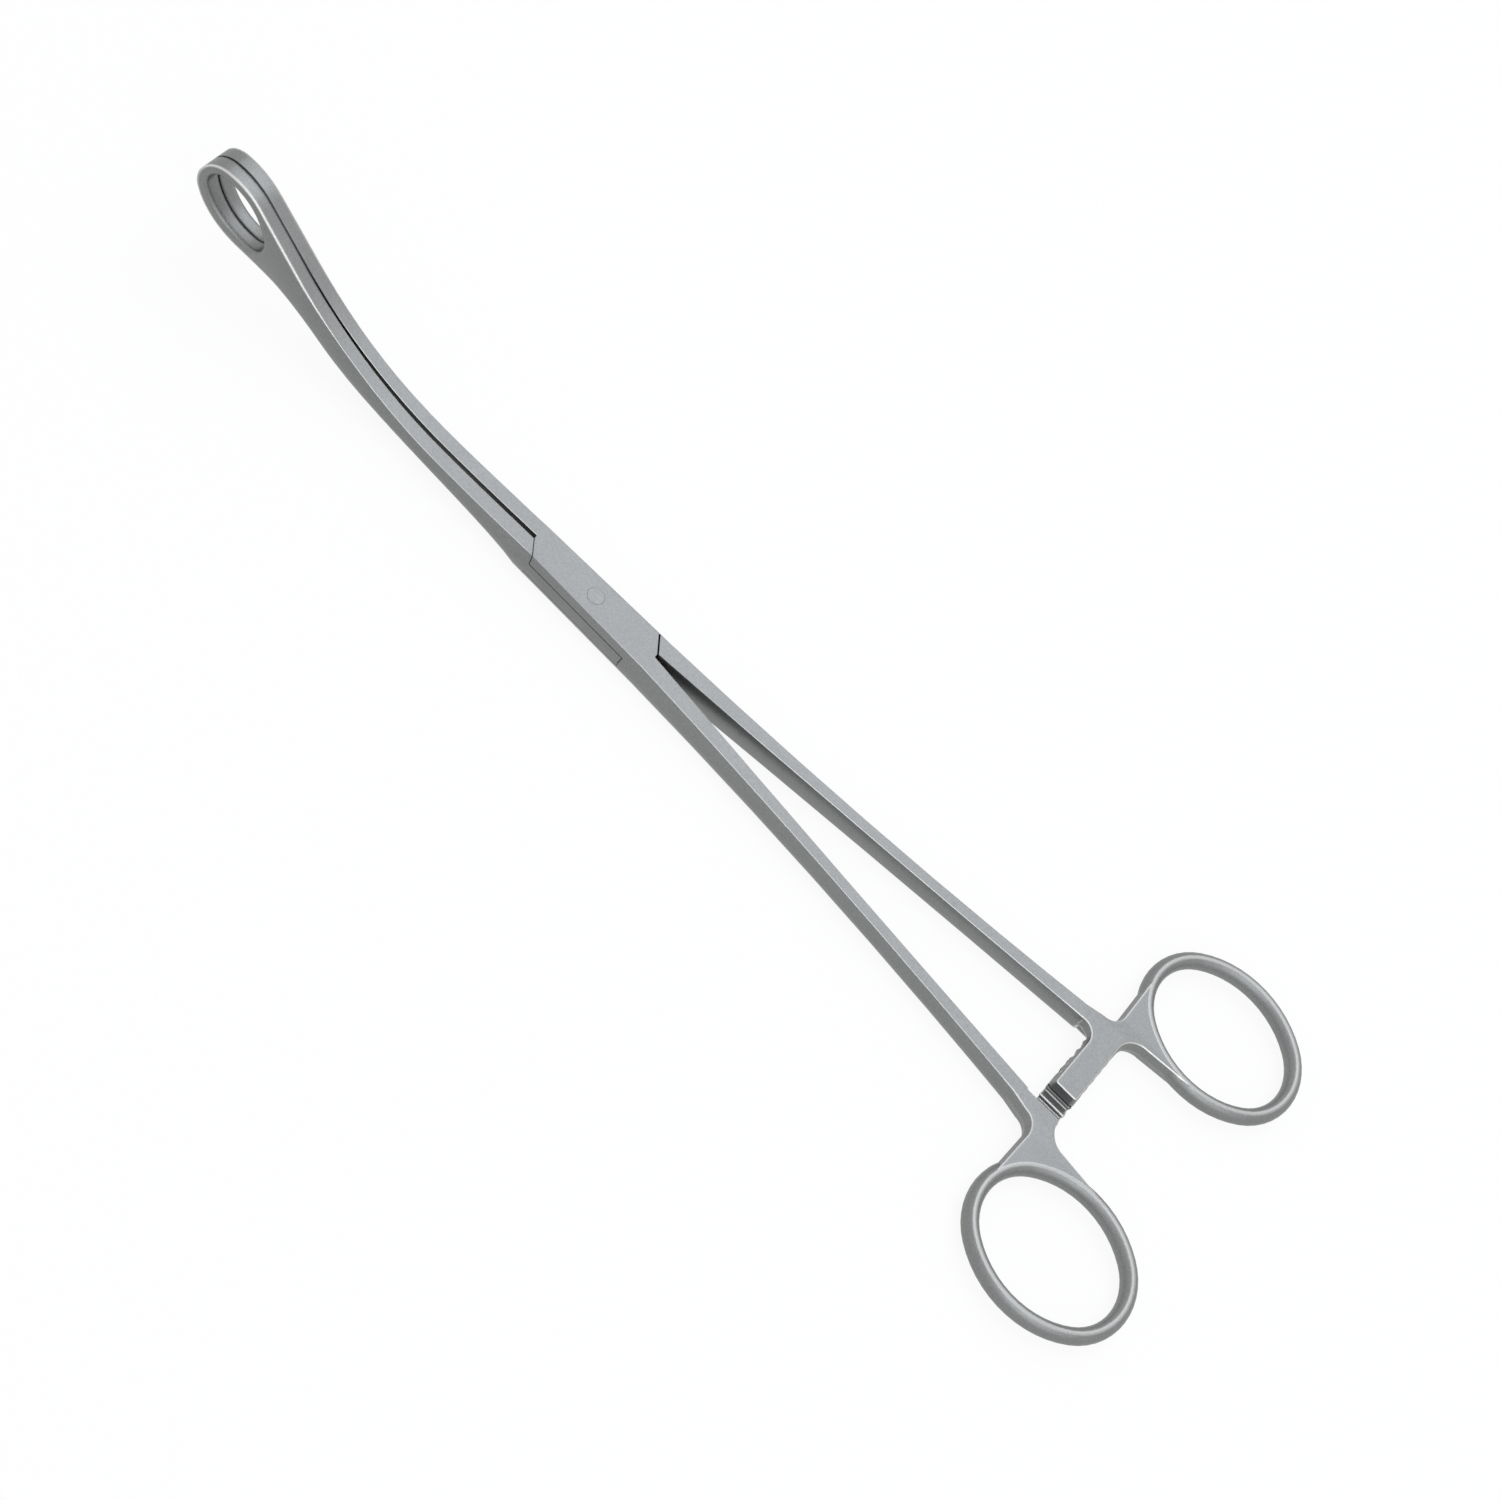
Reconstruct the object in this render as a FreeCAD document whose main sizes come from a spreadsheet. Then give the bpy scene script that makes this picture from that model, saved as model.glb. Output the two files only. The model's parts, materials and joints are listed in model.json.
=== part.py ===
"""Curved sponge holding forceps with a box lock, oval open jaws and a finger ratchet.

Two forged halves cross in a box lock and turn on one flush pin.  The slotted half
carries two cheeks, and the tongue of the other half runs between them.

Frame, in millimetres: the origin is on the pin's axis at the underside of the box
lock, +X points to the jaws, +Z is the side to which the jaws curve, and the finger
ring of the slotted half lies at +Y.  The bodies are drawn about the mid-plane of
the instrument and lifted by half the thickness of the box.
"""
import FreeCAD, Part
import math
import os

import Sketcher
from FreeCAD import Vector

doc = FreeCAD.newDocument("SpongeHoldingForceps")

SIZES = {
    # box lock
    "box_reach": 14.15,
    "box_thickness": 5.5,
    "box_width_rear": 7.5,
    "box_width_front": 6.5,
    "side_bulge": 0.8,
    "notch_height": 0.3,
    "cheek_lean": 35.5,
    "web_lean": 40.6,
    "tongue_thickness": 2.5,
    "slide_clearance": 0.05,
    "web_clearance": 0.1,
    "cheek_gap_front": 0.08,
    "cheek_gap_rear": 0.28,
    # pivot pin
    "pin_radius": 1.55,
    "pin_clearance": 0.04,
    # shanks
    "shank_run": 93.8,
    "shank_gap": 0.9,
    "shank_spread": 9.05,
    "shank_waist_width": 2.0,
    "shank_end_width": 2.6,
    "shank_waist_thickness": 4.2,
    "shank_end_thickness": 4.1,
    "shank_bulge": 0.55,
    # jaws, seen from the side
    "jaw_flat_drop": 0.4,
    "jaw_flat_length": 20.45,
    "jaw_flat_radius": 390.0,
    "jaw_bend_radius": 77.0,
    "jaw_bend_angle": 29.7,
    "jaw_waist_depth": 3.1,
    "jaw_middle_depth": 4.6,
    "jaw_neck_depth": 6.8,
    "jaw_waist_shift": 1.4,
    "jaw_neck_shift": 1.75,
    "jaw_root_radius": 93.0,
    "jaw_waist_radius": 70.0,
    "jaw_neck_radius": 55.0,
    "neck_top_lean": 6.7,
    "neck_low_lean": 21.8,
    # jaws, seen from above
    "jaw_gap": 0.84,
    "jaw_contact_gap": 0.1,
    "jaw_root_side": 3.05,
    "jaw_waist_side": 2.75,
    "jaw_ring_side": 2.7,
    "jaw_ring_bulge": 0.5,
    "jaw_allowance": 1.0,
    # open ring of each jaw
    "ring_reach": 13.0,
    "ring_rise": -0.1,
    "ring_tilt": 23.0,
    "ring_hole_length": 14.5,
    "ring_hole_width": 8.7,
    "ring_end_radius": 3.2,
    "ring_wall": 1.9,
    "ring_edge": 0.7,
    # finger rings
    "bow_reach": 20.3,
    "bow_offset": 3.26,
    "bow_half_length": 15.3,
    "bow_half_width": 12.7,
    "bow_end_radius": 11.3,
    "bow_tube_width": 2.95,
    "bow_tube_height": 3.6,
    "bow_crest": 0.5,
    # yoke that joins shank, ratchet arm and finger ring
    "yoke_lap": 1.95,
    "yoke_sink": 0.03,
    "yoke_front_radius": 2.6,
    "yoke_front_reach": 1.2,
    "yoke_front_step": 0.7,
    "yoke_front_drop": 1.3,
    "yoke_front_rise": 3.4,
    "yoke_back_radius": 3.6,
    "yoke_back_reach": 3.6,
    "yoke_back_rise": 4.6,
    "yoke_back_step": 0.9,
    # ratchet
    "arm_reach": 5.45,
    "arm_width": 5.6,
    "arm_tip": 4.7,
    "arm_lower_tip": 2.7,
    "arm_corner": 0.9,
    "arm_flare": 2.3,
    "arm_lower_flare": 0.7,
    "tooth_gap": 0.1,
    "tooth_step": 0.3,
    "tooth_set": 0.5,
    "tooth_land": 0.15,
    "tooth_flank": 0.3,
    "tooth_pitch": 2.15,
    "tooth_depth": 0.7,
}
TOOTH_GAPS = 5
SHANK_STATIONS = 3

sheet = doc.addObject("Spreadsheet::Sheet", "Sizes")
for row, (alias, number) in enumerate(SIZES.items(), start=1):
    sheet.set(f"A{row}", alias)
    sheet.set(f"B{row}", str(number))
    sheet.setAlias(f"B{row}", alias)
doc.recompute()


def size(alias):
    """Expression that reads one driving dimension."""
    return f"Sizes.{alias}"


def number(expression):
    """Present value of an expression of driving dimensions."""
    return float(sheet.evalExpression(expression))


def origin_part(body, role):
    """Plane or axis of a body's origin, found by its role."""
    return next(item for item in body.Origin.OriginFeatures if item.Role == role)


def new_sketch(body, name, role, offset="0"):
    """Empty sketch parallel to an origin plane of its body, moved along the plane's normal."""
    sketch = body.newObject("Sketcher::SketchObject", name)
    sketch.AttachmentSupport = (origin_part(body, role), "")
    sketch.MapMode = "FlatFace"
    sketch.setExpression("AttachmentOffset.Base.z", offset)
    return sketch


def bind(sketch, constraint, expression):
    """Add a constraint whose value follows an expression."""
    index = sketch.addConstraint(constraint)
    sketch.setExpression(f"Constraints[{index}]", expression)


def outline(sketch, corners):
    """Closed outline: each corner is (x, y), or (x, y, radius, turn) where an arc follows it.

    The turn is +1 for an arc that bulges to the left of the way from corner to corner
    and -1 for one that bulges to the right.
    """
    spots = [Vector(number(corner[0]), number(corner[1]), 0) for corner in corners]
    ends = []
    for index, corner in enumerate(corners):
        start = spots[index]
        end = spots[(index + 1) % len(spots)]
        if len(corner) == 2:
            ends.append((sketch.addGeometry(Part.LineSegment(start, end)), 1, 2))
            continue
        radius = number(corner[2])
        chord = end - start
        left = Vector(-chord.y, chord.x, 0).normalize()
        back = math.sqrt(radius ** 2 - chord.Length ** 2 / 4)
        centre = (start + end) * 0.5 - left * (back * corner[3])
        first, last = (end, start) if corner[3] > 0 else (start, end)
        angles = [math.atan2(spot.y - centre.y, spot.x - centre.x) for spot in (first, last)]
        circle = Part.Circle(centre, Vector(0, 0, 1), radius)
        arc = sketch.addGeometry(Part.ArcOfCircle(circle, angles[0], angles[1]))
        ends.append((arc, 2, 1) if corner[3] > 0 else (arc, 1, 2))
    for index, (edge, start, end) in enumerate(ends):
        following = ends[(index + 1) % len(ends)]
        sketch.addConstraint(Sketcher.Constraint("Coincident", edge, end, following[0], following[1]))
    for (edge, start, end), corner, spot in zip(ends, corners, spots):
        bind(sketch, Sketcher.Constraint("DistanceX", -1, 1, edge, start, spot.x), corner[0])
        bind(sketch, Sketcher.Constraint("DistanceY", -1, 1, edge, start, spot.y), corner[1])
        if len(corner) == 4:
            bind(sketch, Sketcher.Constraint("Radius", edge, number(corner[2])), corner[2])
    return sketch


def circle(sketch, radius):
    """Circle about the sketch's origin."""
    edge = sketch.addGeometry(Part.Circle(Vector(0, 0, 0), Vector(0, 0, 1), number(radius)))
    sketch.addConstraint(Sketcher.Constraint("Coincident", edge, 3, -1, 1))
    bind(sketch, Sketcher.Constraint("Radius", edge, number(radius)), radius)
    return sketch


def loft(body, name, sections):
    """Solid drawn smoothly through sketches."""
    feature = body.newObject("PartDesign::AdditiveLoft", name)
    feature.Profile = sections[0]
    feature.Sections = sections[1:]
    return feature


def pad(body, name, sketch, length, side_type="Symmetric", reverse=False):
    """Extrusion that adds to the body."""
    feature = body.newObject("PartDesign::Pad", name)
    feature.Profile = sketch
    feature.SideType = side_type
    feature.Reversed = reverse
    feature.setExpression("Length", length)
    return feature


def settle():
    """Recompute the model and stop at the first object that did not build."""
    doc.recompute()
    for item in doc.Objects:
        if "Invalid" in item.State or "Error" in item.State:
            raise RuntimeError(f"{item.Label} did not build: {item.State}")


def pocket(body, name, sketch, length, side_type="Symmetric", reverse=False):
    """Extrusion that is cut from the body, with proof that it took something away."""
    settle()
    before = body.Tip.Shape.Volume
    feature = body.newObject("PartDesign::Pocket", name)
    feature.Profile = sketch
    feature.SideType = side_type
    feature.Reversed = reverse
    feature.setExpression("Length", length)
    doc.recompute()
    if feature.Shape.isNull() or feature.Shape.Volume > before - 1e-6:
        raise RuntimeError(f"{body.Label}: {name} cuts nothing")
    return feature


def soften(body, name, radius, wanted):
    """Fillet on the edges of the body's last feature that pass the test."""
    doc.recompute()
    base = body.Tip
    edges = [f"Edge{i}" for i, edge in enumerate(base.Shape.Edges, start=1) if wanted(edge)]
    if not edges:
        raise RuntimeError(f"{body.Label}: {name} finds no edges")
    feature = body.newObject("PartDesign::Fillet", name)
    feature.Base = (base, edges)
    feature.setExpression("Radius", radius)
    doc.recompute()
    return feature


def blend(start, end, share):
    """Expression part of the way from one size to another."""
    return f"({start}) * {1 - share} + ({end}) * {share}"


def waisted(start, waist, end, share):
    """Expression that passes from one size through a waist halfway to another size."""
    dip = f"((({start}) + ({end})) / 2 - ({waist}))"
    return f"{blend(start, end, share)} - {4 * share * (1 - share)} * {dip}"


def arc_radius(half_height, bulge):
    """Radius of an arc over a chord, from half the chord and its bulge."""
    return f"(({half_height})^2 + ({bulge})^2) / (2 * ({bulge}))"


def barrel_section(body, name, x, inner, outer, half_height, inner_bulge, outer_bulge, side):
    """Cross-section of a bar with flat top and underside and rounded sides."""
    sketch = new_sketch(body, name, "YZ_Plane", x)
    near = f"{side} * ({inner})"
    far = f"{side} * ({outer})"
    inner_radius = arc_radius(half_height, inner_bulge)
    outer_radius = arc_radius(half_height, outer_bulge)
    return outline(sketch, [
        (near, f"-({half_height})", inner_radius, side),
        (near, half_height),
        (far, half_height, outer_radius, side),
        (far, f"-({half_height})"),
    ])


BOX_HALF = f"{size('box_thickness')} / 2"
REAR_SIDE = f"{size('box_width_rear')} / 2"
FRONT_SIDE = f"{size('box_width_front')} / 2"
SHANK_END = f"({size('box_reach')} + {size('shank_run')})"
SHANK_END_HALF = f"({size('shank_end_thickness')} / 2)"
SHANK_OUTER = f"({size('shank_spread')} + {size('shank_end_width')})"


def box_block(body):
    """Solid block of the box lock, before the halves are told apart."""
    sections = []
    for name, x, side in (
        ("box_rear_section", f"-{size('box_reach')}", REAR_SIDE),
        ("box_front_section", size("box_reach"), FRONT_SIDE),
    ):
        bulge = size("side_bulge")
        sections.append(barrel_section(body, name, x, f"-({side})", side, BOX_HALF, bulge, bulge, 1))
    return loft(body, "box_block", sections)


def shank(body, side):
    """Tapered shank from the box lock to the finger ring."""
    root_width = f"({REAR_SIDE} - {size('shank_gap')} / 2)"
    sections = []
    for station in range(SHANK_STATIONS):
        share = station / (SHANK_STATIONS - 1)
        x = f"-({size('box_reach')} + {share} * {size('shank_run')})"
        inner = blend(f"{size('shank_gap')} / 2", size("shank_spread"), share)
        width = waisted(root_width, size("shank_waist_width"), size("shank_end_width"), share)
        half = waisted(BOX_HALF, f"{size('shank_waist_thickness')} / 2", SHANK_END_HALF, share)
        inner_bulge = blend(f"{size('shank_gap')} / 3", size("shank_bulge"), share)
        outer_bulge = blend(size("side_bulge"), size("shank_bulge"), share)
        sections.append(barrel_section(body, f"shank_section_{station}", x, inner,
                                       f"{inner} + {width}", half, inner_bulge, outer_bulge, side))
    return loft(body, "shank", sections)


JAW_FLAT_X = f"({size('box_reach')} + {size('jaw_flat_length')})"
JAW_FLAT_Z = f"({BOX_HALF} - {size('jaw_flat_drop')})"


def bend_point(share):
    """Point of the jaw's upper edge, a share of the way round its bend."""
    angle = f"({size('jaw_bend_angle')} * {share})"
    x = f"({JAW_FLAT_X} + {size('jaw_bend_radius')} * sin({angle}))"
    z = f"({JAW_FLAT_Z} + {size('jaw_bend_radius')} * (1 - cos({angle})))"
    return x, z


class Oval:
    """Oval of four arcs: two for its ends and two flatter ones for its sides."""

    def __init__(self, half_length, half_width, end_radius):
        self.end_radius = end_radius
        self.end_along = f"({half_length} - {end_radius})"
        self.side_radius = (f"((({self.end_along})^2 + ({half_width})^2 - ({end_radius})^2)"
                            f" / (2 * ({half_width} - {end_radius})))")
        self.side_across = f"({self.side_radius} - {half_width})"

    def shoulder(self, wall, along_sign, across_sign):
        """Point where an end arc meets a side arc, a wall's width outside the oval."""
        reach = f"(({self.side_radius} + {wall}) / ({self.side_radius} - {self.end_radius}))"
        along = f"{along_sign} * {reach} * {self.end_along}"
        across = f"{across_sign} * ({reach} - 1) * {self.side_across}"
        return along, across


RING_X = f"({bend_point(1)[0]} + {size('ring_reach')})"
RING_Z = f"({bend_point(1)[1]} + {size('ring_rise')})"
RING_OVAL = Oval(f"{size('ring_hole_length')} / 2", f"{size('ring_hole_width')} / 2", size("ring_end_radius"))


def ring_point(along, across):
    """Point given along and across the long axis of the jaw's open ring."""
    tilt = size("ring_tilt")
    x = f"{RING_X} + ({along}) * cos({tilt}) - ({across}) * sin({tilt})"
    z = f"{RING_Z} + ({along}) * sin({tilt}) + ({across}) * cos({tilt})"
    return x, z


def jaw_trim(body):
    """Cut that leaves the jaw's outline as it is seen from the side."""
    wall = size("ring_wall")
    outer_side = f"({RING_OVAL.side_radius} + {wall})"
    outer_end = f"({RING_OVAL.end_radius} + {wall})"
    top_lean = size("neck_top_lean")
    low_lean = size("neck_low_lean")
    top_touch = ring_point(f"-{outer_side} * sin({top_lean})",
                           f"{outer_side} * cos({top_lean}) - {RING_OVAL.side_across}")
    low_touch = ring_point(f"-{outer_side} * sin({low_lean})",
                           f"{RING_OVAL.side_across} - {outer_side} * cos({low_lean})")
    top_shoulder = ring_point(*RING_OVAL.shoulder(wall, 1, 1))
    low_shoulder = ring_point(*RING_OVAL.shoulder(wall, 1, -1))
    bend_end = bend_point(1)
    middle = bend_point(0.69)
    neck = (f"{bend_end[0]} + {size('jaw_neck_shift')}", f"{bend_end[1]} - {size('jaw_neck_depth')}")
    waist = (f"{JAW_FLAT_X} + {size('jaw_waist_shift')}", f"{JAW_FLAT_Z} - {size('jaw_waist_depth')}")
    reach = size("box_reach")
    right = f"{RING_X} + 2 * {size('ring_hole_length')}"
    top = f"{RING_Z} + 2 * {size('ring_hole_length')}"
    bottom = f"-3 * {size('box_thickness')}"
    sketch = new_sketch(body, "jaw_outline", "XZ_Plane")
    outline(sketch, [
        (reach, BOX_HALF, size("jaw_flat_radius"), -1),
        (JAW_FLAT_X, JAW_FLAT_Z, size("jaw_bend_radius"), -1),
        bend_end,
        (*top_touch, outer_side, 1),
        (*top_shoulder, outer_end, 1),
        (*low_shoulder, outer_side, 1),
        low_touch,
        (*neck, size("jaw_neck_radius"), -1),
        (middle[0], f"{middle[1]} - {size('jaw_middle_depth')}", size("jaw_waist_radius"), 1),
        (*waist, size("jaw_root_radius"), -1),
        (reach, f"-{BOX_HALF}"),
        (reach, bottom),
        (right, bottom),
        (right, top),
        (reach, top),
    ])
    return pocket(body, "jaw_side_cut", sketch, f"4 * {size('box_width_rear')}")


def jaw_hole(body):
    """Oval opening of the jaw."""
    sketch = new_sketch(body, "jaw_hole_outline", "XZ_Plane")
    outline(sketch, [
        (*ring_point(*RING_OVAL.shoulder("0", -1, 1)), RING_OVAL.side_radius, 1),
        (*ring_point(*RING_OVAL.shoulder("0", 1, 1)), RING_OVAL.end_radius, 1),
        (*ring_point(*RING_OVAL.shoulder("0", 1, -1)), RING_OVAL.side_radius, 1),
        (*ring_point(*RING_OVAL.shoulder("0", -1, -1)), RING_OVAL.end_radius, 1),
    ])
    return pocket(body, "jaw_hole", sketch, f"4 * {size('box_width_rear')}")


def jaw_blank(body, side):
    """Jaw as it is seen from above, deeper than the finished jaw."""
    rim = f"({size('ring_hole_width')} / 2 + {size('ring_wall')})"
    tip_x = f"{RING_X} + {size('ring_hole_length')} / 2 + 2 * {size('ring_wall')}"
    stations = [
        (size("box_reach"), "0", BOX_HALF, size("jaw_gap"), FRONT_SIDE, size("side_bulge")),
    ]
    growth = f"({size('jaw_neck_depth')} - {size('jaw_waist_depth')})"
    for count in range(4):
        share = count / 3
        x, z = bend_point(share)
        half = f"(({size('jaw_waist_depth')} + {growth} * {share ** 2}) / 2)"
        gap = blend(size("jaw_gap"), size("jaw_contact_gap"), share ** 2)
        width = waisted(size("jaw_root_side"), size("jaw_waist_side"), size("jaw_ring_side"), share)
        bulge = blend(f"{size('side_bulge')} * 0.65", size("jaw_ring_bulge"), share)
        stations.append((x, f"{z} - {half}", half, gap, width, bulge))
    for x in (RING_X, tip_x):
        stations.append((x, RING_Z, rim, size("jaw_contact_gap"), size("jaw_ring_side"),
                         size("jaw_ring_bulge")))
    sections = []
    for index, (x, middle, half, gap, width, bulge) in enumerate(stations):
        sketch = new_sketch(body, f"jaw_section_{index}", "YZ_Plane", x)
        radius = arc_radius(half, bulge)
        tall = f"({half} + {size('jaw_allowance')})"
        edge = f"({width} + {bulge} - {radius} + sqrt(({radius})^2 - {tall}^2))"
        inner = f"{side} * ({gap}) / 2"
        outer = f"{side} * {edge}"
        sections.append(outline(sketch, [
            (inner, f"{middle} - {tall}"),
            (inner, f"{middle} + {tall}"),
            (outer, f"{middle} + {tall}", radius, side),
            (outer, f"{middle} - {tall}"),
        ]))
    return loft(body, "jaw_blank", sections)


def jaw(body, side):
    """Curved jaw with its open ring, whose hole is rounded on the outward side."""
    jaw_blank(body, side)
    jaw_trim(body)
    jaw_hole(body)
    centre = Vector(number(RING_X), 0, number(RING_Z))
    reach = number(size("ring_hole_length")) / 2
    outward = number(size("jaw_ring_side")) / 2

    def outward_rim(edge):
        spots = [vertex.Point for vertex in edge.Vertexes]
        near = all(Vector(spot.x, 0, spot.z).distanceToPoint(centre) < reach for spot in spots)
        return near and all(side * spot.y > outward for spot in spots)
    soften(body, "hole_rim", size("ring_edge"), outward_rim)


BOW_X = f"({SHANK_END} + {size('bow_reach')})"
BOW_Y = f"({SHANK_OUTER} + {size('bow_offset')} + {size('bow_half_width')})"
BOW_OVAL = Oval(size("bow_half_length"), size("bow_half_width"), size("bow_end_radius"))
ARM_X = f"({SHANK_END} + {size('arm_reach')})"
YOKE_HALF = f"({SHANK_END_HALF} - {size('yoke_sink')})"


def bow_line(sketch, side):
    """Centre line of the finger ring, drawn from its foremost point."""
    corners = [(f"-({BOW_X} - {size('bow_half_length')})", f"{side} * {BOW_Y}",
                BOW_OVAL.end_radius, -side)]
    for along_sign, across_sign, radius in (
        (1, 1, BOW_OVAL.side_radius),
        (-1, 1, BOW_OVAL.end_radius),
        (-1, -1, BOW_OVAL.side_radius),
        (1, -1, BOW_OVAL.end_radius),
    ):
        along, across = BOW_OVAL.shoulder("0", along_sign, across_sign)
        corners.append((f"-{BOW_X} + {along}", f"{side} * ({BOW_Y} + {across})", radius, -side))
    return outline(sketch, corners)


def yoke(body, side):
    """Flat web that joins shank, ratchet arm and finger ring, with leaning sides."""
    tip = size("arm_lower_tip") if side > 0 else size("arm_tip")
    flare = size("arm_lower_flare") if side > 0 else size("arm_flare")
    corner = size("arm_corner")
    front = f"-({SHANK_END} - {size('yoke_lap')})"
    inner = f"({size('shank_spread')} - {size('shank_bulge')} + {size('yoke_sink')})"
    outer = f"({SHANK_OUTER} + {size('shank_bulge')})"
    tube = size("bow_tube_width")
    bow_front = f"-({BOW_X} - {size('bow_half_length')} - {tube} / 2)"
    bow_low = f"({BOW_Y} - {size('bow_half_width')})"
    left = f"-({ARM_X} + {size('arm_width')} / 2)"
    right = f"-({ARM_X} - {size('arm_width')} / 2)"
    sketch = new_sketch(body, "yoke_outline", "XY_Plane")
    outline(sketch, [
        (front, f"{side} * {inner}"),
        (front, f"{side} * ({outer} - {tube} / 10)"),
        (f"{bow_front} + {size('yoke_front_reach')}", f"{side} * ({outer} + {size('yoke_front_step')})",
         size("yoke_front_radius"), side),
        (f"{bow_front} - {size('yoke_front_drop')}", f"{side} * ({outer} + {size('yoke_front_rise')})"),
        (f"{bow_front} - {tube} / 3", f"{side} * ({BOW_Y} - {tube} / 6)"),
        (f"-{BOW_X}", f"{side} * ({BOW_Y} + {bow_low}) / 2"),
        (f"-{BOW_X} - {tube}", f"{side} * ({bow_low} - {tube} / 6)"),
        (f"{left} - {size('yoke_back_reach')}", f"{side} * ({inner} + {size('yoke_back_rise')})",
         size("yoke_back_radius"), side),
        (left, f"{side} * ({inner} + {size('yoke_back_step')})"),
        (left, f"-{side} * ({tip} - {corner})", corner, -side),
        (f"{left} + {corner}", f"-{side} * {tip}"),
        (f"{right} - {corner}", f"-{side} * {tip}", corner, -side),
        (right, f"-{side} * ({tip} - {corner})"),
        (right, f"{side} * ({inner} - {flare})", flare, side),
        (f"{right} + {flare}", f"{side} * {inner}"),
    ])
    web = pad(body, "yoke", sketch, YOKE_HALF, "Two sides")
    web.setExpression("Length2", YOKE_HALF)
    lean = f"-atan({size('shank_bulge')} / {SHANK_END_HALF})"
    web.setExpression("TaperAngle", lean)
    web.setExpression("TaperAngle2", lean)
    hole = bow_line(new_sketch(body, "bow_hole_outline", "XY_Plane"), side)
    pocket(body, "bow_hole", hole, f"4 * {SHANK_END_HALF}")
    for name, level in (("upper_slope", 1), ("lower_slope", -1)):
        slope = new_sketch(body, f"{name}_outline", "YZ_Plane", f"-{BOW_X}")
        outline(slope, [
            (f"{side} * {SHANK_OUTER}", f"{level} * {SHANK_END_HALF}"),
            (f"{side} * {bow_low}", f"{level} * ({size('bow_tube_height')} / 2 - {size('yoke_sink')})"),
            (f"{side} * {BOW_Y}", f"{level} * ({size('bow_tube_height')} / 2 - {size('yoke_sink')})"),
            (f"{side} * {BOW_Y}", f"{level} * {SHANK_END_HALF}"),
        ])
        pocket(body, name, slope, f"4 * {size('bow_half_length')}")


def bow(body, side):
    """Finger ring: a rounded bar with a narrow crest, swept round an oval."""
    path = bow_line(new_sketch(body, "bow_path", "XY_Plane"), side)
    section = new_sketch(body, "bow_section", "XZ_Plane", f"-{side} * {BOW_Y}")
    crest = f"({size('bow_crest')} / 2)"
    middle = f"-({BOW_X} - {size('bow_half_length')})"
    half = f"{size('bow_tube_height')} / 2"
    radius = arc_radius(half, f"({size('bow_tube_width')} / 2 - {crest})")
    outline(section, [
        (f"{middle} - {crest}", f"-({half})", radius, 1),
        (f"{middle} - {crest}", half),
        (f"{middle} + {crest}", half, radius, 1),
        (f"{middle} + {crest}", f"-({half})"),
    ])
    feature = body.newObject("PartDesign::AdditivePipe", "bow")
    feature.Profile = section
    feature.Spine = (path, ["Edge1", "Edge2", "Edge3", "Edge4", "Edge5"])
    return feature


def ratchet(body, side):
    """Meeting face of the ratchet arm, a hair off the mid-plane, with saw teeth in it."""
    level = -side
    face = f"{level} * {size('tooth_gap')} / 2"
    root = f"({size('shank_spread')} + {size('tooth_step')})"
    beyond = f"-{level} * {size('shank_end_thickness')}"
    tip = f"({size('arm_tip')} + {size('tooth_pitch')})"
    across = f"{size('arm_width')} + 2 * {size('arm_flare')}"
    half_gap = new_sketch(body, "arm_gap_outline", "YZ_Plane", f"-{ARM_X}")
    outline(half_gap, [
        (f"{side} * {root}", face),
        (f"{side} * {root}", beyond),
        (f"-{side} * {tip}", beyond),
        (f"-{side} * {tip}", face),
    ])
    pocket(body, "arm_gap", half_gap, across)
    tooth = new_sketch(body, "tooth_gap_outline", "YZ_Plane", f"-{ARM_X}")
    first = f"({root} - {size('tooth_set')})"
    last = f"({first} - {size('tooth_pitch')} + {size('tooth_land')})"
    foot = f"{face} + {level} * {size('tooth_depth')}"
    outline(tooth, [
        (f"{side} * {last}", beyond),
        (f"{side} * {last}", face),
        (f"{side} * ({last} + {size('tooth_flank')})", foot),
        (f"{side} * {first}", face),
        (f"{side} * {first}", beyond),
    ])
    cut = pocket(body, "tooth_gap", tooth, across)
    teeth = body.newObject("PartDesign::LinearPattern", "teeth")
    teeth.Originals = [cut]
    teeth.Direction = (origin_part(body, "Y_Axis"), [""])
    teeth.Reversed = side > 0
    teeth.Mode = "Spacing"
    teeth.Occurrences = TOOTH_GAPS
    teeth.setExpression("Offset", size("tooth_pitch"))
    body.Tip = teeth
    return teeth


def lock_strip(lean, reach_front, reach_rear, sign):
    """Corners of the strip across the box lock between two slanted parallel lines."""
    slope = f"tan({lean})"
    width = size("box_width_rear")
    return [
        (f"{reach_front} - {sign} * {width} * {slope}", width),
        (f"{reach_front} + {sign} * {width} * {slope}", f"-{width}"),
        (f"-({reach_rear}) + {sign} * {width} * {slope}", f"-{width}"),
        (f"-({reach_rear}) - {sign} * {width} * {slope}", width),
    ]


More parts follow.
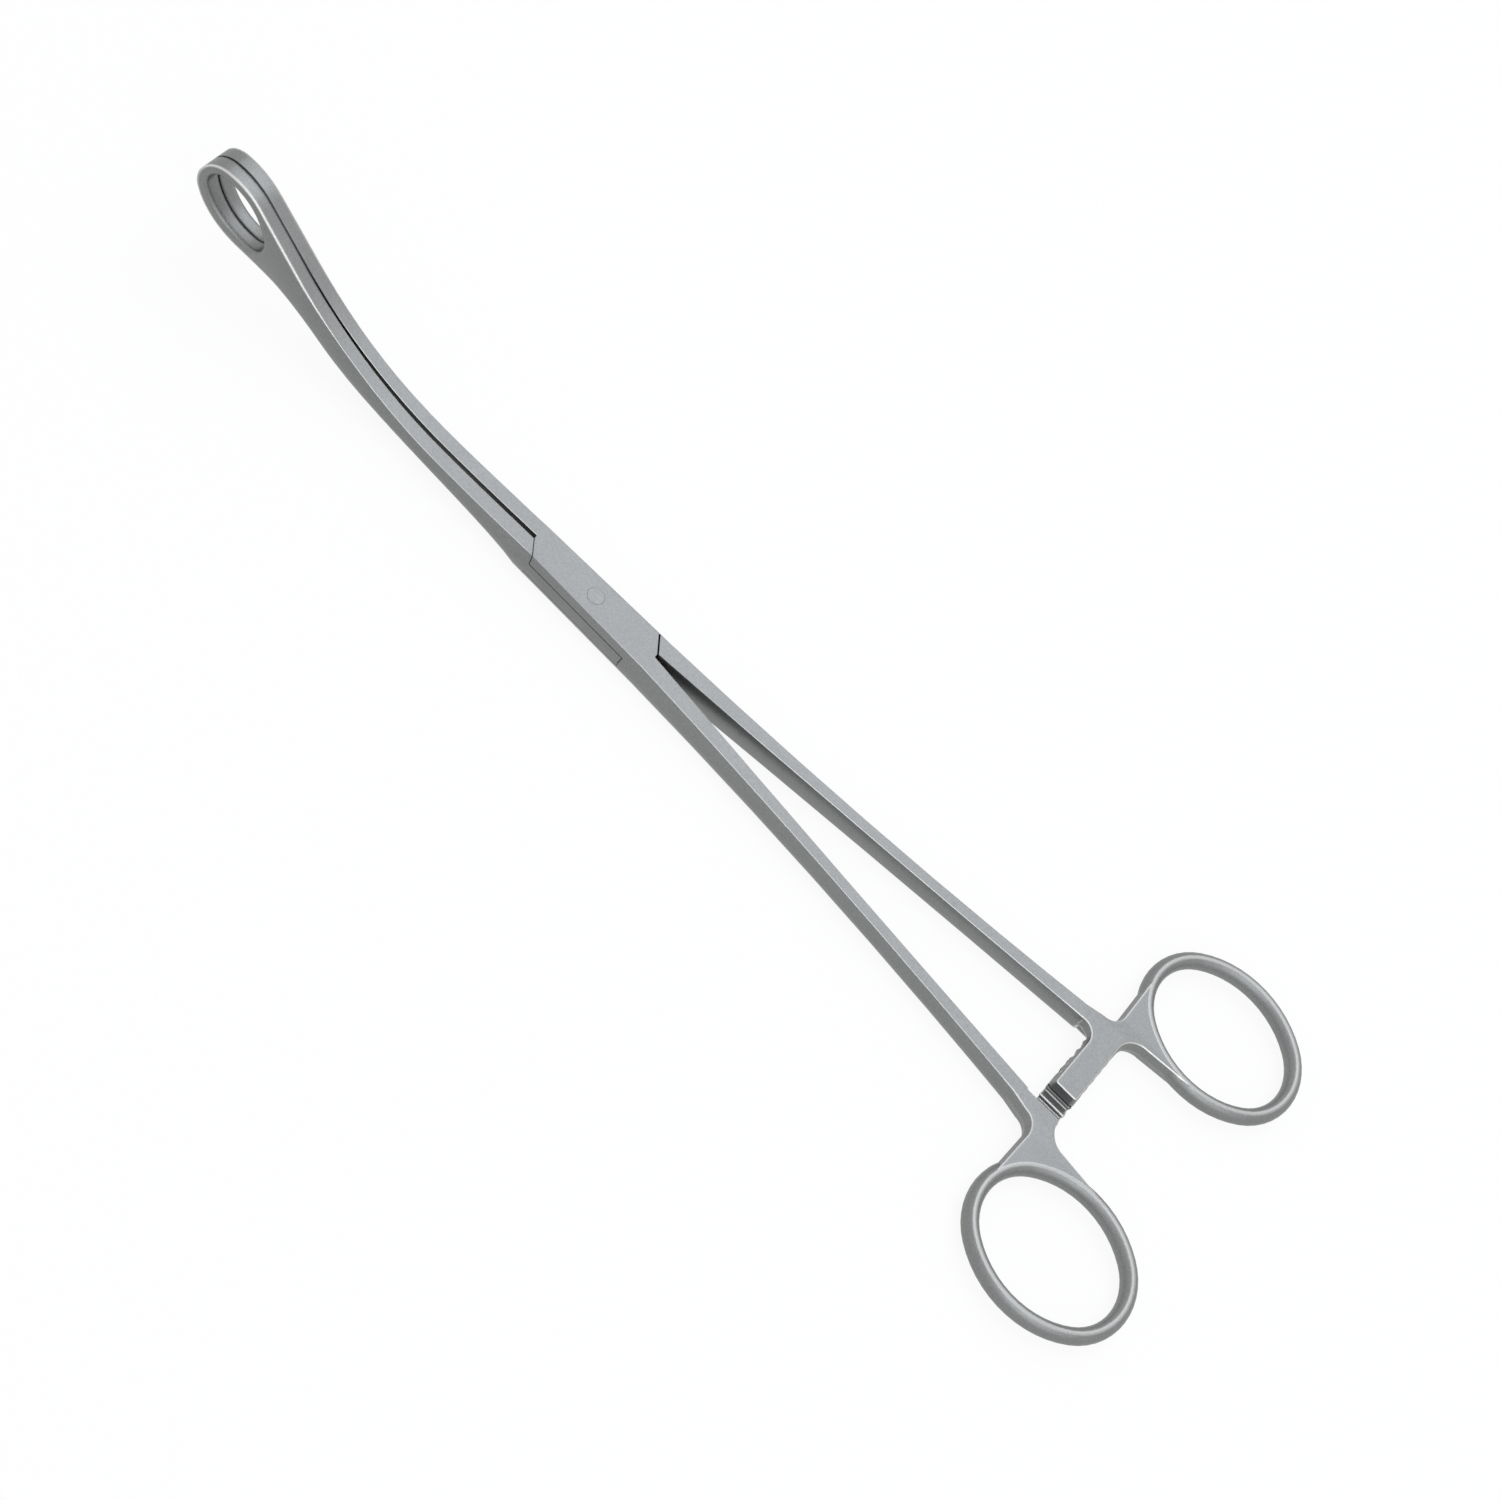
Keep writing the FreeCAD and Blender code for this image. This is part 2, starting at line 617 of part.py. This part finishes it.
def slotted_half():
    """Half with the two cheeks: finger ring at +Y, jaw at -Y."""
    body = doc.addObject("PartDesign::Body", "slotted_half")
    yoke(body, 1)
    bow(body, 1)
    shank(body, 1)
    box_block(body)
    jaw(body, -1)
    reach = size("box_reach")
    slope = f"tan({size('cheek_lean')})"
    notch = size("notch_height")
    wide = size("box_width_rear")
    beyond = f"{reach} + {size('box_thickness')} / 2"
    for name, sign in (("front_corner", 1), ("rear_corner", -1)):
        sketch = new_sketch(body, f"{name}_outline", "XY_Plane")
        outline(sketch, [
            (f"{sign} * ({reach} - ({wide} - {notch}) * {slope})", f"{sign} * {wide}"),
            (f"{sign} * {reach}", f"{sign} * {notch}"),
            (f"{sign} * ({beyond})", f"{sign} * {notch}"),
            (f"{sign} * ({beyond})", f"{sign} * {wide}"),
        ])
        pocket(body, name, sketch, f"2 * {size('box_thickness')}")
    slot = new_sketch(body, "slot_outline", "XY_Plane")
    room = f"({reach} + {size('web_clearance')})"
    outline(slot, lock_strip(size("web_lean"), room, room, -1))
    pocket(body, "slot", slot, f"{size('tongue_thickness')} + 2 * {size('slide_clearance')}")
    pin_bore(body, "0")
    ratchet(body, 1)
    return body


def tongue_half():
    """Half whose tongue passes between the cheeks: finger ring at -Y, jaw at +Y."""
    body = doc.addObject("PartDesign::Body", "tongue_half")
    yoke(body, -1)
    bow(body, -1)
    shank(body, -1)
    box_block(body)
    jaw(body, 1)
    reach = size("box_reach")
    slope = f"tan({size('cheek_lean')})"
    notch = f"{size('notch_height')} * {slope}"
    front = f"({reach} + {notch} + {size('cheek_gap_front')})"
    rear = f"({reach} + {notch} + {size('cheek_gap_rear')})"
    for name, sign in (("upper_cheek_seat", 1), ("lower_cheek_seat", -1)):
        sketch = new_sketch(body, f"{name}_outline", "XY_Plane", f"{sign} * {size('tongue_thickness')} / 2")
        outline(sketch, lock_strip(size("cheek_lean"), front, rear, 1))
        pocket(body, name, sketch, size("box_thickness"), "One side", sign > 0)
    lean = f"tan({size('web_lean')})"
    wide = size("box_width_rear")
    beyond = f"{reach} + {size('box_thickness')} / 2"
    for name, sign in (("front_web_seat", 1), ("rear_web_seat", -1)):
        sketch = new_sketch(body, f"{name}_outline", "XY_Plane")
        outline(sketch, [
            (f"{sign} * ({reach} - {wide} * {lean})", f"-{sign} * {wide}"),
            (f"{sign} * {reach}", "0"),
            (f"{sign} * ({beyond})", "0"),
            (f"{sign} * ({beyond})", f"-{sign} * {wide}"),
        ])
        pocket(body, name, sketch, f"2 * {size('box_thickness')}")
    pin_bore(body, size("pin_clearance"))
    ratchet(body, -1)
    return body


def pin_bore(body, clearance):
    """Bore for the pin, with the running clearance of the half that turns on it."""
    sketch = circle(new_sketch(body, "pin_bore_outline", "XY_Plane"), f"{size('pin_radius')} + {clearance}")
    pocket(body, "pin_bore", sketch, f"2 * {size('box_thickness')}")


def pivot_pin():
    """Pin through both cheeks and the tongue, ground flush with the box."""
    body = doc.addObject("PartDesign::Body", "pivot_pin")
    sketch = circle(new_sketch(body, "pin_outline", "XY_Plane"), size("pin_radius"))
    pad(body, "pin", sketch, size("box_thickness"))
    return body


bodies = [slotted_half(), tongue_half(), pivot_pin()]
for body in bodies:
    body.setExpression("Placement.Base.z", BOX_HALF)
settle()

os.makedirs("parts", exist_ok=True)
for body in bodies:
    shape = body.Shape
    if shape.isNull() or not shape.isValid():
        raise RuntimeError(f"{body.Label} is not a valid solid")
    print(body.Label, len(shape.Solids), "solid", round(shape.Volume, 2), "mm3", shape.BoundBox)
    shape.exportStep(f"parts/{body.Label}.step")
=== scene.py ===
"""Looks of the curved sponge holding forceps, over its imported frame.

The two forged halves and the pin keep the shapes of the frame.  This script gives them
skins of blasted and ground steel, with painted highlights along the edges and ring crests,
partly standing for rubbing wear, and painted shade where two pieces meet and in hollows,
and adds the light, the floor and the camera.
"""
import json
import logging
from dataclasses import dataclass, field
from enum import Enum
from typing import Any, Dict, List, Optional, Tuple

import bpy
from mathutils import Matrix, Vector
from mathutils.bvhtree import BVHTree

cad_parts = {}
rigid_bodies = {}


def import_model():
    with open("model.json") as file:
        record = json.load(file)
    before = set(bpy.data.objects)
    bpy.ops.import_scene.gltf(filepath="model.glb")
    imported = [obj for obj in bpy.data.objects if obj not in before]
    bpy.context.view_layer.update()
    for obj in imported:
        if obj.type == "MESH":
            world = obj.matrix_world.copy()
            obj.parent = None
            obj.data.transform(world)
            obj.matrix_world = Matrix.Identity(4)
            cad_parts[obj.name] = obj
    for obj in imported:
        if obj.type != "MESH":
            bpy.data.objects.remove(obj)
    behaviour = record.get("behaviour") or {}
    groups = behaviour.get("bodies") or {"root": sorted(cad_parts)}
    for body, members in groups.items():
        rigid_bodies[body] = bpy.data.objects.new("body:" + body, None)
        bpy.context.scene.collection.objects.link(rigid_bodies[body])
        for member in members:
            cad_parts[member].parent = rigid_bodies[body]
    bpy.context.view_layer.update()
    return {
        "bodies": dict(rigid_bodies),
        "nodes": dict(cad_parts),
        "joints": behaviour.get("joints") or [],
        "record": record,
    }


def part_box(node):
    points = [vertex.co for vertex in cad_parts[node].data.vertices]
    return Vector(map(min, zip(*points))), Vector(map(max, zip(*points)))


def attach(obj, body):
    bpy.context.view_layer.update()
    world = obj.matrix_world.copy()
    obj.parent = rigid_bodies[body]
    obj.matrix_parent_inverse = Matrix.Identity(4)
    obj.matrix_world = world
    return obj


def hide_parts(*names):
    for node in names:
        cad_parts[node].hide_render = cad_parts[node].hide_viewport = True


LOG = logging.getLogger("forceps")
MM = 0.001
WHITE = "#FFFFFF"
Colour = Tuple[float, float, float, float]
Place = Tuple[float, float, float]
Span = Tuple[float, float]
Socket = bpy.types.NodeSocket
Tree = bpy.types.NodeTree

# Maps that the skins carry from corner to corner: where an open edge gets a painted
# highlight, where it lies close to another piece and gets painted shade, and where a
# ring's crest gets a painted highlight.
OPEN_EDGE_HIGHLIGHT = "open_edge_highlight"
SEAM_SHADE = "seam_shade_mark"
RING_CREST_HIGHLIGHT = "ring_crest_highlight"

# Cosines of an edge's turn away from its face, where the painted edge highlight and the
# painted seam shade start and where they are whole.
EDGE_HIGHLIGHT_TURN: Span = (0.99, 0.9)
SEAM_SHADE_TURN: Span = (0.95, 0.82)
# Share of open surroundings at which a hollow gets full painted shade, and at which it gets
# none.
HOLLOW_OPEN: Span = (0.3, 0.75)
BEVEL_SAMPLES = 12
HOLLOW_SAMPLES = 8


def linear(hex_colour: str) -> Colour:
    """Turn an sRGB hex colour into a linear one.

    Args:
        hex_colour: Six hex digits after a hash sign.

    Returns:
        Linear red, green, blue and an alpha of 1.
    """
    channels = [int(hex_colour[i:i + 2], 16) / 255 for i in (1, 3, 5)]
    red, green, blue = (c / 12.92 if c <= 0.04045 else ((c + 0.055) / 1.055) ** 2.4
                        for c in channels)
    return red, green, blue, 1.0


def add_node(tree: Tree, kind: str, settings: Optional[Dict[str, Any]] = None,
             inputs: Optional[Dict[Any, Any]] = None) -> bpy.types.Node:
    """Add a node with its settings, and its inputs as values or links.

    Args:
        tree: Node tree that gets the node.
        kind: The node's type name.
        settings: Properties of the node.
        inputs: Sockets by name or index, each with a value or an output to link from.

    Returns:
        The new node.
    """
    node = tree.nodes.new(kind)
    for name, value in (settings or {}).items():
        setattr(node, name, value)
    for name, value in (inputs or {}).items():
        if isinstance(value, Socket):
            tree.links.new(value, node.inputs[name])
        else:
            node.inputs[name].default_value = value
    return node


def map_range(tree: Tree, value: Socket, source: Span, target: Span,
              smooth: bool = False) -> Socket:
    """Carry a value from one span over to another, held at both ends.

    Args:
        tree: Node tree that gets the node.
        value: The value.
        source: Two values of it.
        target: What these two become.
        smooth: Whether the change eases in and out.

    Returns:
        The carried value.
    """
    settings = {"interpolation_type": "SMOOTHSTEP" if smooth else "LINEAR"}
    return add_node(tree, "ShaderNodeMapRange", settings,
                    {"Value": value, "From Min": source[0], "From Max": source[1],
                     "To Min": target[0], "To Max": target[1]}).outputs["Result"]


def combine(tree: Tree, operation: str, first: Socket, second: Any) -> Socket:
    """Join two values by arithmetic.

    Args:
        tree: Node tree that gets the node.
        operation: Name of the operation.
        first: The first value.
        second: The second value, as a number or a socket.

    Returns:
        The joined value.
    """
    return add_node(tree, "ShaderNodeMath", {"operation": operation},
                    {0: first, 1: second}).outputs[0]


def mix_colours(tree: Tree, share: Any, first: Any, second: Any, blend: str = "MIX") -> Socket:
    """Mix two colours.

    Args:
        tree: Node tree that gets the node.
        share: Share of the second colour.
        first: The first colour, as a value or a socket.
        second: The second colour, as a value or a socket.
        blend: Name of the way in which they are mixed.

    Returns:
        The mixed colour.
    """
    return add_node(tree, "ShaderNodeMix", {"data_type": "RGBA", "blend_type": blend},
                    {0: share, 6: first, 7: second}).outputs[2]


def marked(tree: Tree, mark: str) -> Socket:
    """Value of one of the skins' maps.

    Args:
        tree: Node tree that gets the node.
        mark: Name of the map.

    Returns:
        The map's value, from 0 to 1.
    """
    return add_node(tree, "ShaderNodeAttribute", {"attribute_name": mark}).outputs["Fac"]


class Texture(Enum):
    """Fine structure of a finish, as its scale along each axis of the instrument."""

    # the even pits of glass-bead blasting
    BLASTED = (1.0, 1.0, 1.0)
    # the lines of a grinding belt, drawn out along the instrument
    GROUND = (0.12, 1.0, 1.0)


@dataclass(frozen=True)
class EdgeShape:
    """How round the edges look, in millimetres, along the instrument.

    The radius of the box lock grows to those of the jaw rings and the handles between
    two places each.
    """

    box: float
    jaw_ring: float = 0.0
    handle: float = 0.0
    jaw_ring_from: float = 58.0
    jaw_ring_to: float = 74.0
    handle_from: float = -101.0
    handle_to: float = -110.0

    def radius(self, tree: Tree, along: Socket) -> Socket:
        """Radius of the edges at a place along the instrument.

        Args:
            tree: Node tree of the material.
            along: Place along the instrument, in metres.

        Returns:
            Radius in metres.
        """
        front = map_range(tree, along, (self.jaw_ring_from * MM, self.jaw_ring_to * MM),
                          (self.box * MM, max(self.jaw_ring, self.box) * MM), smooth=True)
        rear = map_range(tree, along, (self.handle_from * MM, self.handle_to * MM),
                         (self.box * MM, max(self.handle, self.box) * MM), smooth=True)
        return combine(tree, "MAXIMUM", front, rear)


@dataclass(frozen=True)
class SteelFinish:
    """Stainless steel with one surface finish."""

    name: str
    body: str
    cloud: str
    # colour of the painted highlight on open edges and ring crests, partly standing for
    # rubbing wear
    edge: str
    roughness: float
    edge_roughness: float
    texture: Texture
    grain_mm: float
    bump_mm: float
    edges: EdgeShape
    cloud_mm: float = 9.0
    speck_in: Span = (0.3, 0.7)
    speck_out: Span = (0.9, 1.08)
    # colour of the painted shade in seams and hollows
    painted_shade: str = "#1E1C19"
    shade_reach_mm: float = 0.8

    def grain(self, tree: Tree, place: Socket) -> Socket:
        """Fine structure of the finish.

        Args:
            tree: Node tree of the material.
            place: Place on the piece, in metres.

        Returns:
            Height of the structure, from 0 to 1.
        """
        lay = add_node(tree, "ShaderNodeMapping", None,
                       {"Vector": place, "Scale": self.texture.value})
        return add_node(tree, "ShaderNodeTexNoise", {"noise_dimensions": "3D"},
                        {"Vector": lay.outputs["Vector"], "Scale": 1 / (self.grain_mm * MM),
                         "Detail": 2.0, "Roughness": 0.6}).outputs["Fac"]

    def coat(self, tree: Tree, place: Socket, grain: Socket) -> Socket:
        """Colour of the open faces: slow clouds under a fine speckle.

        Args:
            tree: Node tree of the material.
            place: Place on the piece, in metres.
            grain: Height of the fine structure.

        Returns:
            The colour.
        """
        # hand blasting never covers a forging quite evenly
        clouds = add_node(tree, "ShaderNodeTexNoise", {"noise_dimensions": "3D"},
                          {"Vector": place, "Scale": 1 / (self.cloud_mm * MM),
                           "Detail": 3.0, "Roughness": 0.55}).outputs["Fac"]
        tone = mix_colours(tree, clouds, linear(self.body), linear(self.cloud))
        speck = map_range(tree, grain, self.speck_in, self.speck_out)
        return mix_colours(tree, 1.0, tone, speck, "MULTIPLY")

    def painted_edge_share(self, tree: Tree, rounded: Socket, mark: str, turns: Span) -> Socket:
        """Share of an edge where a map marks it.

        Args:
            tree: Node tree of the material.
            rounded: Normal of the rounded edge.
            mark: Name of the map.
            turns: Cosines of the normal's turn at which the share starts and is whole.

        Returns:
            The share, from 0 to 1.
        """
        flat = add_node(tree, "ShaderNodeNewGeometry").outputs["Normal"]
        turn = add_node(tree, "ShaderNodeVectorMath", {"operation": "DOT_PRODUCT"},
                        {0: rounded, 1: flat}).outputs["Value"]
        edge = map_range(tree, turn, turns, (0.0, 1.0))
        return combine(tree, "MULTIPLY", edge, marked(tree, mark))

    def build(self) -> bpy.types.Material:
        """Build the material's nodes.

        Returns:
            The material.
        """
        material = bpy.data.materials.new(self.name)
        material.use_nodes = True
        tree = material.node_tree
        tree.nodes.clear()
        place = add_node(tree, "ShaderNodeTexCoord").outputs["Object"]
        along = add_node(tree, "ShaderNodeSeparateXYZ", None, {"Vector": place}).outputs["X"]
        grain = self.grain(tree, place)
        rounded = add_node(tree, "ShaderNodeBevel", {"samples": BEVEL_SAMPLES},
                           {"Radius": self.edges.radius(tree, along)}).outputs["Normal"]
        # painted highlight on open edges and ring crests, partly standing for rubbing wear
        wear_and_highlight = combine(tree, "MAXIMUM", self.painted_edge_share(tree, rounded, OPEN_EDGE_HIGHLIGHT, EDGE_HIGHLIGHT_TURN),
                       marked(tree, RING_CREST_HIGHLIGHT))
        # painted shade along the seams between the two halves
        seam_darkening = self.painted_edge_share(tree, rounded, SEAM_SHADE, SEAM_SHADE_TURN)
        colour = mix_colours(tree, wear_and_highlight, self.coat(tree, place, grain), linear(self.edge))
        colour = mix_colours(tree, seam_darkening, colour, linear(self.painted_shade))
        # painted shade in slots and between the ratchet teeth
        hollow = add_node(tree, "ShaderNodeAmbientOcclusion", {"samples": HOLLOW_SAMPLES},
                          {"Distance": self.shade_reach_mm * MM}).outputs["AO"]
        unshaded = map_range(tree, hollow, HOLLOW_OPEN, (0.0, 1.0))
        colour = mix_colours(tree, unshaded, linear(self.painted_shade), colour)
        rough = map_range(tree, wear_and_highlight, (0.0, 1.0), (self.roughness, self.edge_roughness))
        bump = add_node(tree, "ShaderNodeBump", None,
                        {"Height": grain, "Distance": self.bump_mm * MM, "Strength": 1.0,
                         "Normal": rounded}).outputs["Normal"]
        shader = add_node(tree, "ShaderNodeBsdfPrincipled", None,
                          {"Base Color": colour, "Metallic": 1.0, "Roughness": rough,
                           "Normal": bump})
        add_node(tree, "ShaderNodeOutputMaterial", None, {"Surface": shader.outputs["BSDF"]})
        return material


# Martensitic stainless steel, blasted with fine glass beads: an even, soft grey without
# mirror images, with painted highlights as thin brighter lines along the edges, partly
# standing for wear from handling.
BLASTED_STEEL = SteelFinish(
    name="stainless_steel_bead_blasted", body="#7F8080", cloud="#888989", edge="#D4D4D1",
    roughness=0.42, edge_roughness=0.32, texture=Texture.BLASTED, grain_mm=0.35,
    bump_mm=0.012, edges=EdgeShape(box=0.24, jaw_ring=1.0, handle=0.55))
# The pin's end is ground flush with the box on a fine belt: faint lines along the
# instrument, and a painted edge highlight that hardly shows.
GROUND_STEEL = SteelFinish(
    name="stainless_steel_belt_ground", body="#7F8080", cloud="#888989", edge="#9C9C9A",
    roughness=0.4, edge_roughness=0.36, texture=Texture.GROUND, grain_mm=0.3,
    bump_mm=0.008, edges=EdgeShape(box=0.04))


@dataclass
class Neighbours:
    """Finds how close a point lies to other pieces of the instrument."""

    trees: List[BVHTree]

    @classmethod
    def of(cls, others: List[bpy.types.Object]) -> "Neighbours":
        """Gather the faces of other pieces.

        Args:
            others: The other pieces' objects, in the frame.

        Returns:
            The neighbours.
        """
        trees = []
        for other in others:
            points = [other.matrix_world @ vertex.co for vertex in other.data.vertices]
            faces = [tuple(face.vertices) for face in other.data.polygons]
            trees.append(BVHTree.FromPolygons(points, faces))
        return cls(trees)

    def closeness(self, point: Vector, touching: float, clear: float) -> float:
        """How close the nearest other piece is.

        Args:
            point: The point, in metres.
            touching: Distance up to which a piece counts as touching.
            clear: Distance from which it counts as clear.

        Returns:
            1 where a piece touches, falling to 0 where all are clear.
        """
        gaps = [tree.find_nearest(point, clear)[3] for tree in self.trees]
        gap = min((gap for gap in gaps if gap is not None), default=clear)
        return min(1.0, max(0.0, (clear - gap) / (clear - touching)))


@dataclass
class SteelPart:
    """One steel piece of the frame that keeps its shape and gets a skin marked for painted
    highlights and painted shade.

    The crest of a finger ring lies crest_height_mm above and below the pin's middle, and
    further than ring_side_mm to the side of the instrument.
    """

    node: str
    body: str
    slot: str
    finish: SteelFinish
    seams_with: Tuple[str, ...] = ()
    flush_with: Tuple[str, ...] = ()
    seam_touch_mm: float = 0.3
    seam_clear_mm: float = 0.6
    crest_height_mm: float = 1.8
    crest_band_mm: float = 0.005
    crest_highlight_share: float = 0.22
    ring_side_mm: float = 14.62

    def skin(self, frame: Dict[str, Any]) -> bpy.types.Object:
        """Copy the frame's node and map its painted highlights on open edges and the ring's
        crest, and its painted shade on seams.

        Args:
            frame: What the frame's loading gave.

        Returns:
            The skin's object.
        """
        node = frame["nodes"][self.node]
        mesh = node.data.copy()
        mesh.name = f"{self.node}_skin"
        piece = bpy.data.objects.new(f"{self.node}_skin", mesh)
        piece.matrix_world = node.matrix_world
        bpy.context.scene.collection.objects.link(piece)
        seams = Neighbours.of([frame["nodes"][name] for name in self.seams_with])
        flush = Neighbours.of([frame["nodes"][name] for name in self.flush_with])
        seam_shade_map = mesh.attributes.new(SEAM_SHADE, "FLOAT", "POINT")
        edge_highlight_map = mesh.attributes.new(OPEN_EDGE_HIGHLIGHT, "FLOAT", "POINT")
        crest_highlight_map = mesh.attributes.new(RING_CREST_HIGHLIGHT, "FLOAT", "POINT")
        low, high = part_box("pivot_pin")
        middle = (low[2] + high[2]) / 2
        touch, clear = self.seam_touch_mm * MM, self.seam_clear_mm * MM
        for vertex in mesh.vertices:
            point = node.matrix_world @ vertex.co
            seam = seams.closeness(point, touch, clear)
            covered = max(seam, flush.closeness(point, touch, clear))
            seam_shade_map.data[vertex.index].value = seam
            edge_highlight_map.data[vertex.index].value = 1.0 - covered
            # the ring's crest gets a painted highlight
            off_crest = abs(abs(point.z - middle) - self.crest_height_mm * MM)
            on_crest = off_crest < self.crest_band_mm * MM
            on_ring = abs(point.y) > self.ring_side_mm * MM
            crest_highlight_map.data[vertex.index].value = (
                self.crest_highlight_share if on_crest and on_ring else 0.0)
        return piece

    def build(self, frame: Dict[str, Any],
              made: Dict[str, bpy.types.Material]) -> bpy.types.Object:
        """Put the finished skin in the node's place.

        Args:
            frame: What the frame's loading gave.
            made: Materials made so far, by name.

        Returns:
            The skin's object.
        """
        if self.finish.name not in made:
            made[self.finish.name] = self.finish.build()
        piece = self.skin(frame)
        piece.data.materials.clear()
        piece.data.materials.append(made[self.finish.name])
        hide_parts(self.node)
        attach(piece, self.body)
        return piece


@dataclass
class Forceps:
    """The whole instrument: two halves and the pin."""

    parts: List[SteelPart] = field(default_factory=lambda: [
        SteelPart("slotted_half", "slotted_body", "forged_steel", BLASTED_STEEL,
                  seams_with=("tongue_half",), flush_with=("pivot_pin",)),
        SteelPart("tongue_half", "tongue_body", "forged_steel", BLASTED_STEEL,
                  seams_with=("slotted_half",), flush_with=("pivot_pin",)),
        SteelPart("pivot_pin", "slotted_body", "pin_steel", GROUND_STEEL,
                  flush_with=("slotted_half",)),
    ])

    def build(self, frame: Dict[str, Any]) -> None:
        """Build every part and report it.

        Args:
            frame: What the frame's loading gave.
        """
        made: Dict[str, bpy.types.Material] = {}
        for part in self.parts:
            piece = part.build(frame, made)
            LOG.info("%s wears %s", piece.name, part.finish.name)


@dataclass
class PhotoCamera:
    """Camera at the photograph's place, in the part's own frame."""

    place_mm: Place = (-46.23, 318.21, 454.33)
    right: Place = (-0.7127843, -0.57967778, 0.39485721)
    down: Place = (-0.70115406, 0.57451542, -0.42227362)
    ahead: Place = (0.01793107, -0.57784574, -0.815949)
    focal_px: float = 3300.0
    picture_px: int = 1500
    sensor_mm: float = 36.0
    clip: Span = (0.01, 20.0)

    def build(self) -> bpy.types.Object:
        """Make the camera and set it as the scene's.

        Returns:
            The camera's object.
        """
        data = bpy.data.cameras.new("camera")
        data.sensor_width = self.sensor_mm
        data.lens = self.focal_px * self.sensor_mm / self.picture_px
        data.clip_start, data.clip_end = self.clip
        turn = Matrix((self.right, -Vector(self.down), -Vector(self.ahead))).transposed()
        camera = bpy.data.objects.new("camera", data)
        camera.matrix_world = Matrix.Translation(Vector(self.place_mm) * MM) @ turn.to_4x4()
        bpy.context.scene.collection.objects.link(camera)
        bpy.context.scene.camera = camera
        return camera


@dataclass(frozen=True)
class SoftLamp:
    """Square lamp, turned to the middle of the instrument, in metres and watts."""

    name: str
    place: Place
    side: float
    power: float
    colour: str = "#F3F8FF"

    def build(self) -> bpy.types.Object:
        """Hang the lamp.

        Returns:
            The lamp's object.
        """
        data = bpy.data.lights.new(self.name, "AREA")
        data.shape = "SQUARE"
        data.size = self.side
        data.energy = self.power
        data.color = linear(self.colour)[:3]
        lamp = bpy.data.objects.new(self.name, data)
        lamp.location = self.place
        lamp.rotation_mode = "QUATERNION"
        lamp.rotation_quaternion = (-Vector(self.place)).to_track_quat("-Z", "Y")
        bpy.context.scene.collection.objects.link(lamp)
        return lamp


@dataclass
class Studio:
    """Pale floor, white surroundings and soft lamps."""

    floor_radius: float = 3.0
    floor_level: float = -0.0002
    floor_card: str = "#FCFCFC"
    floor_glow: float = 0.9
    world_strength: float = 0.55
    lamps: List[SoftLamp] = field(default_factory=lambda: [
        SoftLamp("lamp_behind", (0.05, -0.62, 0.95), 0.9, 3.4),
        SoftLamp("lamp_left", (-0.55, 0.65, 0.9), 0.7, 2.5),
        SoftLamp("lamp_top", (-0.05, 0.05, 1.25), 0.9, 3.0),
    ])

    def seen(self, tree: Tree) -> Socket:
        """Tell what the camera or a reflection sees from what only lights the part.

        Args:
            tree: Node tree that gets the nodes.

        Returns:
            1 for the camera's rays and those of reflections, 0 for the rest.
        """
        ray = add_node(tree, "ShaderNodeLightPath")
        return combine(tree, "MAXIMUM", ray.outputs["Is Camera Ray"],
                       ray.outputs["Is Glossy Ray"])

    def surround(self) -> None:
        """White world for the camera and reflections, plain grey light for the rest."""
        world = bpy.data.worlds.new("soft_room")
        bpy.context.scene.world = world
        world.use_nodes = True
        tree = world.node_tree
        tree.nodes.clear()
        light = add_node(tree, "ShaderNodeBackground", None,
                         {"Color": linear(WHITE), "Strength": self.world_strength})
        white = add_node(tree, "ShaderNodeBackground", None,
                         {"Color": linear(WHITE), "Strength": 1.0})
        mixed = add_node(tree, "ShaderNodeMixShader", None,
                         {0: self.seen(tree), 1: light.outputs[0], 2: white.outputs[0]})
        add_node(tree, "ShaderNodeOutputWorld", None, {"Surface": mixed.outputs[0]})

    def floor(self) -> bpy.types.Object:
        """Pale floor that shows white to the camera and keeps a faint shadow.

        Returns:
            The floor's object.
        """
        mesh = bpy.data.meshes.new("floor")
        reach = self.floor_radius
        corners = [(-reach, -reach), (reach, -reach), (reach, reach), (-reach, reach)]
        mesh.from_pydata([(x, y, self.floor_level) for x, y in corners], [], [(0, 1, 2, 3)])
        floor = bpy.data.objects.new("floor", mesh)
        bpy.context.scene.collection.objects.link(floor)
        material = bpy.data.materials.new("matte_white_card")
        material.use_nodes = True
        tree = material.node_tree
        tree.nodes.clear()
        card = add_node(tree, "ShaderNodeBsdfDiffuse", None,
                        {"Color": linear(self.floor_card)})
        glow = add_node(tree, "ShaderNodeEmission", None,
                        {"Color": linear(WHITE), "Strength": 1.0})
        share = combine(tree, "MULTIPLY", self.seen(tree), self.floor_glow)
        mixed = add_node(tree, "ShaderNodeMixShader", None,
                         {0: share, 1: card.outputs[0], 2: glow.outputs[0]})
        add_node(tree, "ShaderNodeOutputMaterial", None, {"Surface": mixed.outputs[0]})
        mesh.materials.append(material)
        return floor

    def build(self) -> None:
        """Make the whole studio."""
        self.surround()
        self.floor()
        for lamp in self.lamps:
            lamp.build()


def main() -> None:
    """Build the scene over the frame."""
    logging.basicConfig(level=logging.INFO, format="%(name)s: %(message)s")
    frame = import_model()
    PhotoCamera().build()
    Studio().build()
    Forceps().build(frame)
    bpy.context.scene.view_settings.view_transform = "Standard"


if __name__ == "__main__":
    main()
